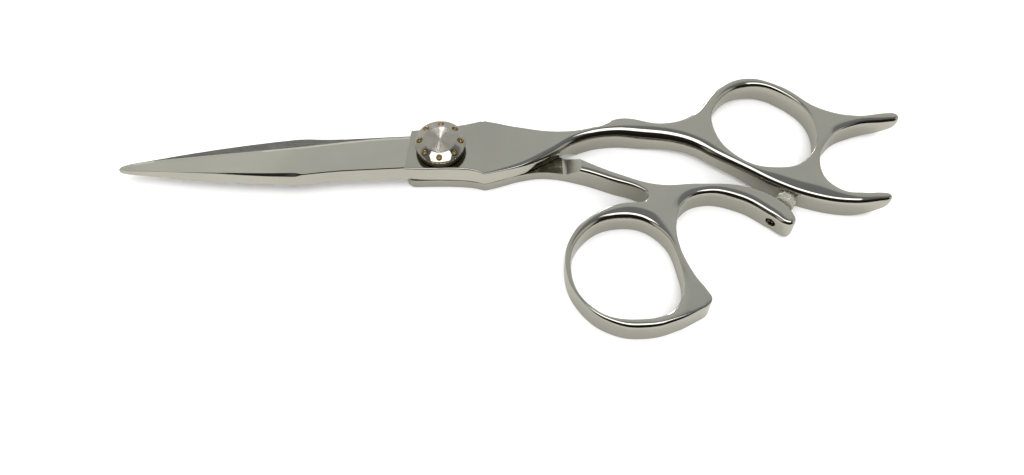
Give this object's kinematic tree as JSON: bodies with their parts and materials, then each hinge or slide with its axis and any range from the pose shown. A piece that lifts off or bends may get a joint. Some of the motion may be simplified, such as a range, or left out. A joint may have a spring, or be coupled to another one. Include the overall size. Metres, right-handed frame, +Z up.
{
  "type": "hair cutting shears",
  "caption": "Closed hair cutting shears: two tapering blades on a dial-adjusted pivot, offset handles with finger and thumb rings, a forked finger rest and a soft stop between the handles.",
  "frame": {"origin": "on the pivot axis, at the flat back of the pivot stud, level with the plane that the closed shears lie on", "axes": "+Z up along the pivot axis out of the tension dial, +X from the pivot towards the handles with the closed blades along -X, +Y towards the finger ring's side"},
  "size_m": [0.1691, 0.0595, 0.0089],
  "materials": {
    "polished_steel": "mirror polished stainless steel",
    "turned_steel": "lathe-turned steel",
    "brass": "plain brass",
    "spring_steel": "dull spring steel",
    "nylon": "natural nylon",
    "clear_silicone": "translucent silicone"
  },
  "bodies": {
    "finger_body": {"finger_half": "polished_steel", "pivot_stud": "turned_steel", "pivot_bushing": "brass", "ride_washer": "nylon", "click_plate": "spring_steel", "spring_washer": "spring_steel"},
    "thumb_body": {"thumb_half": "polished_steel", "bumper": "clear_silicone", "bumper_screw": "spring_steel"},
    "dial_body": {"tension_dial": "turned_steel", "dial_pin_1": "brass", "dial_pin_2": "brass", "dial_pin_3": "brass", "dial_pin_4": "brass", "dial_pin_5": "brass", "dial_pin_6": "brass", "dial_pin_7": "brass", "dial_pin_8": "brass", "detent_ball_1": "spring_steel", "detent_ball_2": "spring_steel"}
  },
  "joints": [
    {"name": "blade_pivot", "type": "hinge", "parent": "finger_body", "child": "thumb_body", "pos_m": [0, 0, 0.0029], "axis": [0, 0, -1], "range_deg": [0, 90]},
    {"name": "dial_turn", "type": "hinge", "parent": "finger_body", "child": "dial_body", "pos_m": [0, 0, 0.0061], "axis": [0, 0, 1], "range_deg": [-180, 180]}
  ]
}
